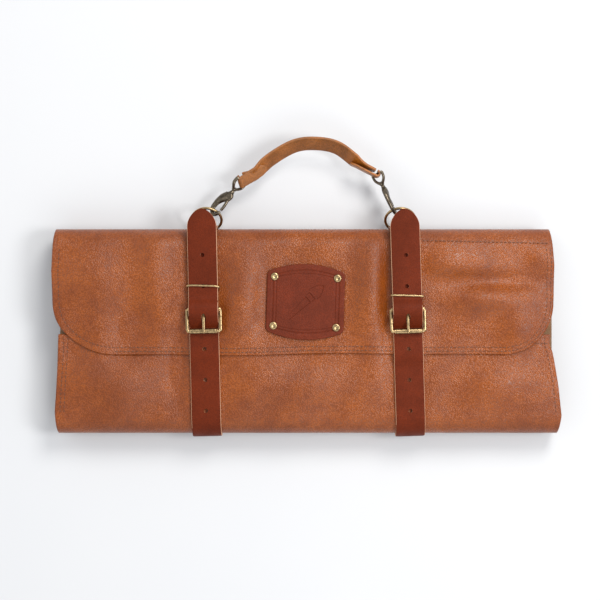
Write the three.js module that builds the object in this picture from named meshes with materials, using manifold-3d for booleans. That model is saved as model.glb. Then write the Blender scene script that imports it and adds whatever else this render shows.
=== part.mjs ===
// Leather brush roll case, lying on its back: +X along its length, +Y towards the carrying handle,
// +Z out of its front. Millimetres. Heights along Y are counted from the case's bottom edge.
import * as THREE from 'three';
import { mergeVertices } from 'three/addons/utils/BufferGeometryUtils.js';
import Module from 'manifold-3d';

const wasm = await Module();
wasm.setup();

// Driving dimensions
const CASE_LENGTH = 510;      // along X
const CASE_HEIGHT = 207;      // bottom fold to top fold, closed
const CENTRE_Y = 148.2;       // halfway from the bottom belt to the top of the handle
const GAP = 0.3;              // clearance between touching pieces
const HIDE = 2.4;             // shell leather
const LINING = 1.0;
const STRAP = 3.0;            // belt leather
const STRAP_WIDTH = 29.4;
const BACK_Z = STRAP + GAP;   // underside of the back panel
const FRONT_Z = 40;           // outer face of the front panel
const FLAP_Z = FRONT_Z + GAP + HIDE;
const FRONT_TOP = 100;        // top edge of the front panel, under the flap
const FLAP_BOTTOM = 81;
const FLAP_CORNER = 46;
const HOLE_PITCH = 31;
const BAR_Y = 126;            // buckle hinge bar
const BAR_Z = 49;
const BAR_R = 1.4;
const BUCKLE_WIDTH = 36.6;
const ROLLER_Y = 104;
const ROLLER_R = 2.75;
const KEEPER_Z = FLAP_Z + GAP;
const BUCKLE_STRAP_Z = KEEPER_Z + 1.6 + GAP;
const BUCKLE_STRAP = 2.2;
const RING_R = 15.1;
const RING_WIRE = 1.4;
const RING_Y = 216.6;
const RING_Z = 14.6;
const RING_TILT = 42;         // degrees, far side up
const HANDLE_WIDTH = 20;
const HANDLE_LEAN = 33;       // degrees from upright, top edge outwards
const HANDLE_Z = 24;

const BOTTOM_R = (FRONT_Z - BACK_Z) / 2;
const BOTTOM_Z = (FRONT_Z + BACK_Z) / 2;
const BOTTOM_Y = BOTTOM_R;
const TOP_R = (FLAP_Z - BACK_Z) / 2;
const TOP_Z = (FLAP_Z + BACK_Z) / 2;
const TOP_Y = CASE_HEIGHT - TOP_R;
const STRAP_END_Y = -STRAP - GAP;
const SIDES = [
  { name: 'left', x: -101.5, ringX: -101, lean: 1.25, keeper: 148,
    hookAt: 52, hookAim: 49, hookTurn: -35 },
  { name: 'right', x: 102.5, ringX: 96, lean: 1.8, keeper: 139,
    hookAt: 118, hookAim: 115, hookTurn: 78 },
];

const group = new THREE.Group();
group.position.y = -CENTRE_Y;

const finish = (color, roughness, metalness) =>
  new THREE.MeshStandardMaterial({ color, roughness, metalness });
const tan = finish(0x9c5b3b, 0.55, 0);
const suede = finish(0x8a6a4c, 0.95, 0);
const belt = finish(0x73351f, 0.5, 0);
const badgeLeather = finish(0x783e29, 0.55, 0);
const handleLeather = finish(0x8e582e, 0.5, 0);
const brass = finish(0x977549, 0.35, 1);
const gunmetal = finish(0x5f5547, 0.4, 1);

function add(parent, name, geometry, material) {
  const mesh = new THREE.Mesh(geometry, material);
  mesh.name = name;
  parent.add(mesh);
  return mesh;
}

// Solid helpers
function solid(geometry) {
  const bare = geometry.clone();
  bare.deleteAttribute('normal');
  bare.deleteAttribute('uv');
  const merged = mergeVertices(bare, 1e-3);
  const corners = [];
  for (let i = 0; i < merged.index.count; i += 3) {
    const [a, b, c] = merged.index.array.slice(i, i + 3);
    if (a !== b && b !== c && c !== a) corners.push(a, b, c);
  }
  return new wasm.Manifold(new wasm.Mesh({
    numProp: 3,
    vertProperties: new Float32Array(merged.attributes.position.array),
    triVerts: new Uint32Array(corners),
  }));
}

function surface(body) {
  const mesh = body.getMesh();
  const geometry = new THREE.BufferGeometry();
  geometry.setAttribute('position', new THREE.BufferAttribute(mesh.vertProperties, 3));
  geometry.setIndex(new THREE.BufferAttribute(mesh.triVerts, 1));
  geometry.computeVertexNormals();
  return geometry;
}

const cut = (geometry, ...tools) =>
  surface(tools.reduce((body, tool) => body.subtract(solid(tool)), solid(geometry)));
const join = (geometry, ...more) =>
  surface(more.reduce((body, piece) => body.add(solid(piece)), solid(geometry)));

// A side profile in (y, z), extruded along X and centred on it
function alongX(shape, width, segments = 14) {
  const geometry = new THREE.ExtrudeGeometry(shape, { depth: width, bevelEnabled: false, curveSegments: segments });
  geometry.applyMatrix4(new THREE.Matrix4().makeBasis(
    new THREE.Vector3(0, 1, 0), new THREE.Vector3(0, 0, 1), new THREE.Vector3(1, 0, 0)));
  return geometry.translate(-width / 2, 0, 0);
}

function slab(x0, x1, y0, y1, z0, z1) {
  return new THREE.BoxGeometry(x1 - x0, y1 - y0, z1 - z0)
    .translate((x0 + x1) / 2, (y0 + y1) / 2, (z0 + z1) / 2);
}

// Half ring that closes the case at the top (side 1) or the bottom (side -1)
function halfRing(y, z, outer, thickness, side, width) {
  const shape = new THREE.Shape();
  const from = side > 0 ? -Math.PI / 2 : Math.PI / 2;
  const to = from + Math.PI;
  shape.absarc(y, z, outer, from, to, false);
  shape.absarc(y, z, outer - thickness, to, from, true);
  shape.closePath();
  return alongX(shape, width, 22);
}

// A strip of even thickness whose underside follows the points (y, z)
function strip(points, thickness, width) {
  const normals = points.map((point, i) => {
    const before = points[Math.max(i - 1, 0)];
    const after = points[Math.min(i + 1, points.length - 1)];
    const a = new THREE.Vector2(point[0] - before[0], point[1] - before[1]);
    const b = new THREE.Vector2(after[0] - point[0], after[1] - point[1]);
    if (i === 0) a.copy(b);
    if (i === points.length - 1) b.copy(a);
    a.normalize();
    b.normalize();
    const middle = new THREE.Vector2(-a.y - b.y, a.x + b.x).normalize();
    return middle.multiplyScalar(thickness / (middle.x * -a.y + middle.y * a.x));
  });
  const shape = new THREE.Shape();
  points.forEach(([y, z], i) => (i ? shape.lineTo(y, z) : shape.moveTo(y, z)));
  points.map(([y, z], i) => [y + normals[i].x, z + normals[i].y]).reverse()
    .forEach(([y, z]) => shape.lineTo(y, z));
  shape.closePath();
  return alongX(shape, width);
}

function hole(y, radius, stretch = 1) {
  return new THREE.CylinderGeometry(radius, radius, 80, 12)
    .rotateX(Math.PI / 2).scale(1, stretch, 1).translate(0, y, 40);
}

// Shell: one hide folded in three, plus its lining
function buildShell() {
  const half = CASE_LENGTH / 2;
  add(group, 'back_panel', slab(-half, half, BOTTOM_Y + GAP, TOP_Y - GAP, BACK_Z, BACK_Z + HIDE), tan);
  add(group, 'bottom_fold', halfRing(BOTTOM_Y, BOTTOM_Z, BOTTOM_R, HIDE, -1, CASE_LENGTH), tan);
  add(group, 'top_fold', halfRing(TOP_Y, TOP_Z, TOP_R, HIDE, 1, CASE_LENGTH), tan);
  add(group, 'front_panel', slab(-half, half, BOTTOM_Y + GAP, FRONT_TOP, FRONT_Z - HIDE, FRONT_Z), tan);

  const outline = new THREE.Shape();
  outline.moveTo(-half, TOP_Y - GAP);
  outline.lineTo(-half, FLAP_BOTTOM + FLAP_CORNER);
  outline.absarc(-half + FLAP_CORNER, FLAP_BOTTOM + FLAP_CORNER, FLAP_CORNER, Math.PI, 1.5 * Math.PI, false);
  outline.absarc(half - FLAP_CORNER, FLAP_BOTTOM + FLAP_CORNER, FLAP_CORNER, 1.5 * Math.PI, 2 * Math.PI, false);
  outline.lineTo(half, TOP_Y - GAP);
  outline.closePath();
  const flap = new THREE.ExtrudeGeometry(outline, { depth: HIDE, bevelEnabled: false, curveSegments: 10 });
  add(group, 'flap_panel', flap.translate(0, 0, FLAP_Z - HIDE), tan);

  const liningZ = BACK_Z + HIDE + GAP;
  add(group, 'back_lining',
    slab(-half + 4, half - 4, BOTTOM_Y + 3, TOP_Y - 3, liningZ, liningZ + LINING), suede);
  const pocketZ = liningZ + LINING + GAP;
  add(group, 'brush_pocket_panel',
    slab(116, half - 4, BOTTOM_Y + 3, TOP_Y - 3, pocketZ, pocketZ + LINING), suede);
  add(group, 'pocket_binding',
    slab(112, 115.7, BOTTOM_Y + 3, TOP_Y - 3, pocketZ, pocketZ + 2), tan);
}

// Badge: arched leather patch held by a rivet at each corner
function buildBadge() {
  const width = 78;
  const sideHeight = 60;
  const arch = 8;
  const thickness = 2;
  const rivetX = 31.5;
  const rivetY = 24.6;
  const z = FLAP_Z + GAP;
  const badgeGroup = new THREE.Group();
  badgeGroup.position.set(-0.5, CASE_HEIGHT - 74, 0);
  badgeGroup.rotation.z = THREE.MathUtils.degToRad(-1.8);
  group.add(badgeGroup);
  const outline = new THREE.Shape();
  outline.moveTo(-width / 2, -sideHeight / 2);
  outline.quadraticCurveTo(0, -sideHeight / 2 - 2 * arch, width / 2, -sideHeight / 2);
  outline.lineTo(width / 2, sideHeight / 2);
  outline.quadraticCurveTo(0, sideHeight / 2 + 2 * arch, -width / 2, sideHeight / 2);
  outline.closePath();
  const patch = new THREE.ExtrudeGeometry(outline, { depth: thickness, bevelEnabled: false, curveSegments: 10 });
  add(badgeGroup, 'badge', patch.translate(0, 0, z), badgeLeather);
  const profile = [[0, 0], [3.9, 0], [3.9, 0.5], [3, 1.2], [0, 1.5]].map(([r, h]) => new THREE.Vector2(r, h));
  [['top_left', -1, 1], ['top_right', 1, 1], ['bottom_left', -1, -1], ['bottom_right', 1, -1]]
    .forEach(([place, across, up]) => {
      const rivet = new THREE.LatheGeometry(profile, 14).rotateX(Math.PI / 2);
      rivet.translate(across * rivetX, up * rivetY, z + thickness + GAP);
      add(badgeGroup, `badge_rivet_${place}`, rivet, brass);
    });
}

// Belt of one side: back run, folds, buckle strap and free tail, with its buckle and keeper
function buildBelt(side) {
  const here = new THREE.Group();
  here.position.set(side.x, 90, 0);
  here.rotation.z = THREE.MathUtils.degToRad(side.lean);
  group.add(here);
  const low = new THREE.Group();
  low.position.y = -90;
  here.add(low);
  const named = (piece) => `${side.name}_${piece}`;
  const tailZ = FRONT_Z + GAP;
  const foldR = (BUCKLE_STRAP_Z + BUCKLE_STRAP) / 2;
  add(low, named('strap_back'),
    slab(-STRAP_WIDTH / 2, STRAP_WIDTH / 2, BOTTOM_Y + GAP, TOP_Y - GAP, 0, STRAP), belt);
  add(low, named('strap_bottom_fold'),
    halfRing(BOTTOM_Y, (tailZ + STRAP) / 2, (tailZ + STRAP) / 2, STRAP - GAP, -1, STRAP_WIDTH), belt);
  add(low, named('strap_top_fold'), halfRing(TOP_Y, foldR, foldR, BUCKLE_STRAP, 1, STRAP_WIDTH), belt);

  const loop = new THREE.Shape();
  const loopR = BAR_Z - BUCKLE_STRAP_Z;
  const runTop = BUCKLE_STRAP_Z + BUCKLE_STRAP;
  loop.moveTo(TOP_Y - GAP, BUCKLE_STRAP_Z);
  loop.lineTo(BAR_Y, BUCKLE_STRAP_Z);
  loop.absarc(BAR_Y, BAR_Z, loopR, 1.5 * Math.PI, 0.5 * Math.PI, true);
  loop.lineTo(BAR_Y + 10, runTop);
  loop.lineTo(TOP_Y - GAP, runTop);
  loop.closePath();
  const eye = new THREE.Path();
  eye.absarc(BAR_Y, BAR_Z, BAR_R + GAP, 0, 2 * Math.PI, false);
  loop.holes.push(eye);
  const slot = slab(-2.4, 2.4, BAR_Y - 8, BAR_Y + 3.8, 40, 60);
  add(low, named('buckle_strap'), cut(alongX(loop, STRAP_WIDTH), slot), belt);

  const overLoop = BAR_Z + loopR + GAP;
  const path = [[BOTTOM_Y + GAP, tailZ], [66, tailZ], [79, KEEPER_Z], [109, KEEPER_Z], [121.5, overLoop],
    [126, overLoop], [136.5, runTop + GAP], [TOP_Y + 39, runTop + GAP]];
  const tip = new THREE.Shape();
  tip.moveTo(-STRAP_WIDTH / 2, -50);
  tip.lineTo(STRAP_WIDTH / 2, -50);
  tip.absellipse(0, TOP_Y + 26, STRAP_WIDTH / 2, 12, 0, Math.PI, false);
  tip.closePath();
  const outline = new THREE.ExtrudeGeometry(tip, { depth: 90, bevelEnabled: false, curveSegments: 8 });
  const prongHole = BAR_Y - 9.4;
  const holes = [-3, -2, -1, 1, 2].map((step) => hole(117 + step * HOLE_PITCH, 2.1));
  const tail = solid(strip(path, STRAP, STRAP_WIDTH)).intersect(solid(outline));
  const punched = [...holes, hole(prongHole, 2.3, 2.1)].reduce((body, tool) => body.subtract(solid(tool)), tail);
  add(low, named('strap_tail'), surface(punched), belt);

  const barX = BUCKLE_WIDTH / 2 - 1.6;
  const bar = (y, radius) => new THREE.CylinderGeometry(radius, radius, 2 * barX, 12)
    .rotateZ(Math.PI / 2).translate(0, y, BAR_Z);
  const rail = (x) => slab(x - 1.6, x + 1.6, ROLLER_Y - 2, BAR_Y + 2, BAR_Z - 1.7, BAR_Z + 1.7);
  add(low, named('buckle_frame'), join(bar(BAR_Y, BAR_R), bar(ROLLER_Y, BAR_R), rail(-barX), rail(barX)), brass);
  const tube = [[BAR_R + GAP, -13.4], [ROLLER_R, -13.4], [ROLLER_R, 13.4], [BAR_R + GAP, 13.4], [BAR_R + GAP, -13.4]]
    .map(([r, h]) => new THREE.Vector2(r, h));
  add(low, named('buckle_roller'),
    new THREE.LatheGeometry(tube, 16).rotateZ(Math.PI / 2).translate(0, ROLLER_Y, BAR_Z), brass);

  const collar = [[BAR_R + GAP, -1.6], [3.2, -1.6], [3.2, 1.6], [BAR_R + GAP, 1.6], [BAR_R + GAP, -1.6]]
    .map(([r, h]) => new THREE.Vector2(r, h));
  const collarRing = new THREE.LatheGeometry(collar, 14).rotateZ(Math.PI / 2).translate(0, BAR_Y, BAR_Z);
  const rise = Math.atan2(ROLLER_R + GAP + 1.3, BAR_Y - ROLLER_Y);
  const finger = new THREE.CylinderGeometry(1.3, 1.3, 22.6, 10).translate(0, 13.6, 0)
    .rotateZ(Math.PI).rotateX(-rise).translate(0, BAR_Y, BAR_Z);
  add(low, named('buckle_prong'), join(collarRing, finger), brass);

  const inner = STRAP_WIDTH / 2 + 0.5;
  const keeperTop = runTop + GAP + STRAP + GAP;
  const ring = slab(-inner - 1.8, inner + 1.8, side.keeper - 1.1, side.keeper + 1.1, KEEPER_Z, keeperTop + 1.8);
  const space = slab(-inner, inner, side.keeper - 4, side.keeper + 4, KEEPER_Z + 1.6, keeperTop);
  add(low, named('keeper'), cut(ring, space), brass);
}

const degrees = THREE.MathUtils.degToRad;

// Round ring, held to the back of the strap's top fold by a short leather tab
function buildRing(side) {
  const place = new THREE.Group();
  place.position.set(side.ringX, RING_Y, RING_Z);
  place.rotation.x = degrees(RING_TILT);
  group.add(place);
  add(place, `${side.name}_ring`, new THREE.TorusGeometry(RING_R, RING_WIRE, 8, 28), brass);

  const wireY = RING_Y - RING_R * Math.cos(degrees(RING_TILT));
  const wireZ = RING_Z - RING_R * Math.sin(degrees(RING_TILT));
  const foldR = (BUCKLE_STRAP_Z + BUCKLE_STRAP) / 2;
  const outer = Math.min(wireZ, 4);
  const curl = new THREE.Shape();
  curl.absarc(wireY, wireZ, outer, 0, 2 * Math.PI, false);
  const tongue = new THREE.Shape();
  tongue.absarc(TOP_Y, foldR, foldR + GAP + 1.8, degrees(-50), degrees(-12), false);
  tongue.absarc(TOP_Y, foldR, foldR + GAP, degrees(-12), degrees(-50), true);
  tongue.closePath();
  const fold = new THREE.CylinderGeometry(foldR + GAP, foldR + GAP, 40, 48)
    .rotateZ(Math.PI / 2).translate(0, TOP_Y, foldR);
  const ringSpace = new THREE.TorusGeometry(RING_R, RING_WIRE + GAP, 8, 40)
    .rotateX(degrees(RING_TILT)).translate(0, RING_Y, RING_Z);
  const tab = surface(solid(alongX(curl, 8)).add(solid(alongX(tongue, 8)))
    .subtract(solid(fold)).subtract(solid(ringSpace)));
  add(group, `${side.name}_ring_tab`, tab.translate(side.ringX, 0, 0), belt);
}

// Rod of round section along a smooth curve through the points (x, y)
function rod(points, radius, steps) {
  const curve = new THREE.CatmullRomCurve3(points.map(([x, y]) => new THREE.Vector3(x, y, 0)));
  const section = new THREE.Shape();
  section.absarc(0, 0, radius, 0, 2 * Math.PI, false);
  return new THREE.ExtrudeGeometry(section,
    { steps, bevelEnabled: false, extrudePath: curve, curveSegments: 5 });
}

const ball = (x, y, ...radii) => new THREE.SphereGeometry(1, 12, 8).scale(...radii).translate(x, y, 0);

// Snap hook: claw that holds the ring, sprung gate on a pin, and the swivel eye for the handle
function buildHook(side) {
  const aim = degrees(side.hookAim) - Math.PI / 2;
  const at = degrees(side.hookAt);
  const tilt = degrees(RING_TILT);
  const place = new THREE.Group();
  place.position.set(side.ringX + RING_R * Math.cos(at), RING_Y + RING_R * Math.sin(at) * Math.cos(tilt),
    RING_Z + RING_R * Math.sin(at) * Math.sin(tilt));
  place.rotation.z = aim;
  group.add(place);
  const turned = new THREE.Group();
  turned.rotation.y = degrees(side.hookTurn);
  place.add(turned);
  const claw = rod([[0, 19], [-4.6, 14], [-5.6, 7], [-4.6, -0.2], [0, -4], [4.2, -1.2], [4.9, 3]], 1.6, 22);
  const shoulder = ball(0.4, 18, 4.6, 5, 2.8);
  const shank = new THREE.CylinderGeometry(1.5, 1.5, 5.4, 10).translate(0, 24.6, 0);
  const gateSpace = slab(2.6, 8, 2.4, 17.2, -1.6, 1.6);
  add(turned, `${side.name}_hook_claw`,
    surface(solid(join(claw, shoulder, shank)).subtract(solid(gateSpace))), gunmetal);
  const gate = slab(3, 5.4, 3.4, 16, -1.25, 1.25);
  add(turned, `${side.name}_hook_gate`, gate, gunmetal);

  const eyeFrame = new THREE.Group();
  eyeFrame.position.y = 29;
  eyeFrame.rotation.y = Math.PI / 2 - degrees(HANDLE_LEAN);
  place.add(eyeFrame);
  const post = new THREE.CylinderGeometry(1.1, 1.1, 18, 10).rotateZ(Math.PI / 2).translate(0, 11, 0);
  const loop = rod([[-8.6, 11], [-8, 4.5], [0, 0.8], [8, 4.5], [8.6, 11]], 1.2, 16);
  add(eyeFrame, `${side.name}_swivel_eye`, join(loop, post, ball(0, 0.4, 2.6, 1.6, 2.6)), gunmetal);
}

// Carrying handle: one strap on edge between the two eyes, its ends looped round their posts
function buildHandle() {
  const lean = degrees(HANDLE_LEAN);
  const ends = SIDES.map((side) => {
    const at = degrees(side.hookAt);
    const aim = degrees(side.hookAim);
    return new THREE.Vector3(side.ringX + RING_R * Math.cos(at) + 40 * Math.cos(aim),
      RING_Y + RING_R * Math.sin(at) * Math.cos(degrees(RING_TILT)) + 40 * Math.sin(aim),
      RING_Z + RING_R * Math.sin(at) * Math.sin(degrees(RING_TILT)));
  });
  const [first, last] = ends;
  const middle = [[-36, 277], [-12, 291], [10, 293.5], [32, 289], [54, 273]];
  const curve = new THREE.CatmullRomCurve3([
    first.clone().add(new THREE.Vector3(2.6, 3, 0)),
    ...middle.map(([x, y]) => new THREE.Vector3(x, y, HANDLE_Z)),
    last.clone().add(new THREE.Vector3(-1.6, 3.4, 0)),
  ]);
  const steps = 30;
  const positions = [];
  for (let i = 0; i <= steps; i += 1) {
    const t = i / steps;
    const centre = curve.getPointAt(t);
    const along = curve.getTangentAt(t);
    const outward = new THREE.Vector3(-along.y, along.x, 0).normalize();
    const up = outward.clone().multiplyScalar(Math.sin(lean)).add(new THREE.Vector3(0, 0, Math.cos(lean)));
    const across = up.clone().cross(along).normalize();
    const half = 6.4 + (HANDLE_WIDTH / 2 - 6.4) * Math.min(1, Math.min(t, 1 - t) * 6);
    [[1, 1], [1, -1], [-1, -1], [-1, 1]].forEach(([u, v]) => positions.push(
      ...centre.clone().addScaledVector(up, u * half).addScaledVector(across, v * 1.3).toArray()));
  }
  const index = [0, 2, 1, 0, 3, 2];
  for (let i = 0; i < steps; i += 1) {
    for (let k = 0; k < 4; k += 1) {
      const a = 4 * i + k;
      const b = 4 * i + (k + 1) % 4;
      index.push(a, b, a + 4, b, b + 4, a + 4);
    }
  }
  const end = 4 * steps;
  index.push(end, end + 1, end + 2, end, end + 2, end + 3);
  const strap = new THREE.BufferGeometry();
  strap.setAttribute('position', new THREE.Float32BufferAttribute(positions, 3));
  strap.setIndex(index);
  const curls = SIDES.map((side, i) => {
    const curl = new THREE.CylinderGeometry(4, 4, 12.8, 14).rotateZ(Math.PI / 2);
    curl.rotateY(Math.PI / 2 - lean).rotateZ(degrees(side.hookAim) - Math.PI / 2);
    return curl.translate(ends[i].x, ends[i].y, ends[i].z);
  });
  const posts = SIDES.map((side, i) => {
    const post = new THREE.CylinderGeometry(1.5, 1.5, 40, 10).rotateZ(Math.PI / 2);
    post.rotateY(Math.PI / 2 - lean).rotateZ(degrees(side.hookAim) - Math.PI / 2);
    return post.translate(ends[i].x, ends[i].y, ends[i].z);
  });
  const whole = [...curls].reduce((body, curl) => body.add(solid(curl)), solid(strap));
  add(group, 'handle_strap',
    surface(posts.reduce((body, post) => body.subtract(solid(post)), whole)), handleLeather);
}

buildShell();
buildBadge();
SIDES.forEach((side) => {
  buildBelt(side);
  buildRing(side);
  buildHook(side);
});
buildHandle();

export default group;
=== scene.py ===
"""Leather brush roll case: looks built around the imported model, laid out as a Blender add-on.

Lengths are metres. X runs along the case, Y towards the handle and Z out of its front.
"""

import math

import bmesh
import bpy
import numpy as np
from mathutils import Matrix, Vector


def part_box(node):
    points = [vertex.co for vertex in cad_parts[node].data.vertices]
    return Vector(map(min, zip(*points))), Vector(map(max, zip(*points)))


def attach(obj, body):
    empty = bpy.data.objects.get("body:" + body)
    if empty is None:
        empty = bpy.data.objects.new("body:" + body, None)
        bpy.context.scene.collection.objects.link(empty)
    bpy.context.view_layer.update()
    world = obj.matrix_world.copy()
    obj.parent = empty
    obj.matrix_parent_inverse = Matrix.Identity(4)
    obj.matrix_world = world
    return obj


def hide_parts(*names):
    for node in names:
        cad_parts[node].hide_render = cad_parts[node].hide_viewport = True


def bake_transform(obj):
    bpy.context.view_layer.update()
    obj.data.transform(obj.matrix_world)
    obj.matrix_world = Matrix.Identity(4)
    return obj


bl_info = {
    "name": "Leather Brush Roll Case",
    "version": (1, 0, 0),
    "blender": (4, 5, 0),
    "location": "3D View > Sidebar > Roll Case",
    "description": "Builds the leather, straps and metalwork of a brush roll case",
    "category": "Add Mesh",
}

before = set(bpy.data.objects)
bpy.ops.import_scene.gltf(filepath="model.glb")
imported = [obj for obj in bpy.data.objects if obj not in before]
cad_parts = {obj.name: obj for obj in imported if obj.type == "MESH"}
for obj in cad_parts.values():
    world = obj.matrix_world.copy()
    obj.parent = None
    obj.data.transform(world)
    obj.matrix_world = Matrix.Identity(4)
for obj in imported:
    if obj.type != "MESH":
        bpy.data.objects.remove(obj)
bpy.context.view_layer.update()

MM = 0.001
SIDES = ("left", "right")
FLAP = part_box("flap_panel")
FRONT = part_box("front_panel")
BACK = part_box("back_panel")
CASE_HALF = BACK[1].x
BACK_Z = BACK[0].z
TOP_Y = FLAP[1].y
BOTTOM_Y = FRONT[0].y
FLAP_Z = FLAP[1].z
FRONT_Z = FRONT[1].z
FLAP_EDGE = FLAP[0].y
TOP_R = (FLAP_Z - BACK_Z) / 2
BOTTOM_R = (FRONT_Z - BACK_Z) / 2
HIDE = FLAP[1].z - FLAP[0].z


# ---------------------------------------------------------------- settings


class LeatherSettings(bpy.types.PropertyGroup):
    """Colours and relief of the hide and the belts"""

    hide_colour: bpy.props.FloatVectorProperty(
        name="Hide", description="Main colour of the shell leather", subtype="COLOR",
        default=(0.3, 0.07, 0.007), min=0.0, max=1.0)
    hide_dark: bpy.props.FloatVectorProperty(
        name="Hide, dark", description="Colour of the hide where it is stained or shaded", subtype="COLOR",
        default=(0.2, 0.041, 0.0035), min=0.0, max=1.0)
    belt_colour: bpy.props.FloatVectorProperty(
        name="Belt", description="Colour of the strap leather", subtype="COLOR",
        default=(0.145, 0.018, 0.002), min=0.0, max=1.0)
    edge_colour: bpy.props.FloatVectorProperty(
        name="Cut edge", description="Pale raw colour of cut leather", subtype="COLOR",
        default=(0.62, 0.36, 0.22), min=0.0, max=1.0)
    handle_colour: bpy.props.FloatVectorProperty(
        name="Handle", description="Colour of the carrying handle", subtype="COLOR",
        default=(0.4, 0.125, 0.014), min=0.0, max=1.0)
    undulation: bpy.props.FloatProperty(
        name="Undulation", description="How strongly the loose hide swells and dips",
        default=2.2, min=0.0, max=3.0)


class HardwareSettings(bpy.types.PropertyGroup):
    """Sizes and colours of the metal and thread"""

    brass_colour: bpy.props.FloatVectorProperty(
        name="Brass", description="Colour of the buckles, rings and rivets", subtype="COLOR",
        default=(0.36, 0.255, 0.13), min=0.0, max=1.0)
    dark_metal: bpy.props.FloatVectorProperty(
        name="Hook metal", description="Colour of the snap hooks", subtype="COLOR",
        default=(0.13, 0.105, 0.075), min=0.0, max=1.0)
    thread_colour: bpy.props.FloatVectorProperty(
        name="Thread", description="Colour of the sewing thread", subtype="COLOR",
        default=(0.13, 0.045, 0.02), min=0.0, max=1.0)
    stitch_pitch: bpy.props.FloatProperty(
        name="Stitch pitch", description="Distance from stitch to stitch", subtype="DISTANCE",
        default=4.1 * MM, min=2 * MM, max=8 * MM)
    stitch_radius: bpy.props.FloatProperty(
        name="Thread radius", description="Radius of the sewing thread", subtype="DISTANCE",
        default=0.42 * MM, min=0.1 * MM, max=1 * MM)


# ---------------------------------------------------------------- surfaces


def make_mesh(name, points, faces, material, smooth=True):
    """Puts whole arrays of points and quads into a new mesh object."""
    mesh = bpy.data.meshes.new(name)
    mesh.from_pydata(np.asarray(points).reshape(-1, 3).tolist(), [], [list(f) for f in faces])
    mesh.validate()
    mesh.polygons.foreach_set("use_smooth", np.full(len(mesh.polygons), smooth))
    piece = bpy.data.objects.new(name, mesh)
    bpy.context.scene.collection.objects.link(piece)
    mesh.materials.append(material)
    return piece


def grid_faces(rows, columns, wrap_rows=False, wrap_columns=False):
    """Quads that join neighbouring points of a rows by columns grid."""
    i = np.arange(rows if wrap_rows else rows - 1)
    j = np.arange(columns if wrap_columns else columns - 1)
    i, j = (a.ravel() for a in np.meshgrid(i, j, indexing="ij"))
    up, across = (i + 1) % rows, (j + 1) % columns
    return np.stack([i * columns + j, i * columns + across, up * columns + across, up * columns + j], 1)


def normals_of(grid):
    """Unit normals of a grid: the cross product of its two directions of travel."""
    du = np.gradient(grid, axis=0)
    dv = np.gradient(grid, axis=1)
    normal = np.cross(du, dv)
    return normal / np.maximum(np.linalg.norm(normal, axis=2, keepdims=True), 1e-12)


def leather_sheet(name, grid, thickness, material):
    """A sheet of even thickness: the grid is its outer face, a copy moved back along the normals is its
    inner face, and a rim pushed out by a quarter of the thickness rounds the edge between them."""
    normal = normals_of(grid)
    inner = grid - normal * thickness
    rows, columns = grid.shape[:2]
    faces = [grid_faces(rows, columns), grid_faces(rows, columns)[:, ::-1] + rows * columns]
    index = np.arange(rows * columns).reshape(rows, columns)
    border = np.concatenate([index[0, :-1], index[:-1, -1], index[-1, :0:-1], index[:0:-1, 0]])
    middle = (grid + inner).reshape(-1, 3)[border] / 2
    centre = grid.reshape(-1, 3).mean(0)
    around = np.roll(middle, -1, 0) - np.roll(middle, 1, 0)
    outward = np.cross(around, normal.reshape(-1, 3)[border])
    outward /= np.maximum(np.linalg.norm(outward, axis=1, keepdims=True), 1e-12)
    if np.sum(outward * (middle - centre)) < 0:
        outward = -outward
    rim = middle + outward * thickness / 4
    count = len(border)
    start = 2 * rows * columns
    here = np.arange(count)
    after = (here + 1) % count
    faces.append(np.stack([border[after], border[here], start + here, start + after], 1))
    faces.append(np.stack([start + after, start + here, border[here] + rows * columns,
                           border[after] + rows * columns], 1))
    points = np.concatenate([grid.reshape(-1, 3), inner.reshape(-1, 3), rim])
    piece = make_mesh(name, points, np.concatenate(faces), material)
    face_outwards(piece)
    return piece


def face_outwards(piece):
    """Turns every face of a closed mesh to point out."""
    work = bmesh.new()
    work.from_mesh(piece.data)
    bmesh.ops.remove_doubles(work, verts=work.verts, dist=1e-6)
    bmesh.ops.recalc_face_normals(work, faces=work.faces)
    work.to_mesh(piece.data)
    work.free()
    piece.data.polygons.foreach_set("use_smooth", np.full(len(piece.data.polygons), True))


def resample(points, count, closed=False):
    """Even spacing along a smooth cubic (Catmull-Rom) curve through the points."""
    points = np.asarray(points, float)
    padded = np.concatenate([points[-1:], points, points[:2]] if closed else
                            [2 * points[:1] - points[1:2], points, 2 * points[-1:] - points[-2:-1]])
    t = np.linspace(0, 1, 24, endpoint=False)[:, None, None]
    a, b, c, d = padded[:-3], padded[1:-2], padded[2:-1], padded[3:]
    square = (2 * a - 5 * b + 4 * c - d) * t ** 2
    cube = (3 * b - a - 3 * c + d) * t ** 3
    curve = (0.5 * (2 * b + (c - a) * t + square + cube)).transpose(1, 0, 2).reshape(-1, 3)
    if not closed:
        curve = np.concatenate([curve, points[-1:]])
    else:
        curve = np.concatenate([curve, curve[:1]])
    length = np.concatenate([[0], np.cumsum(np.linalg.norm(np.diff(curve, axis=0), axis=1))])
    at = np.linspace(0, length[-1], count + 1)[:-1] if closed else np.linspace(0, length[-1], count)
    return np.stack([np.interp(at, length, curve[:, k]) for k in range(3)], 1)


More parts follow.
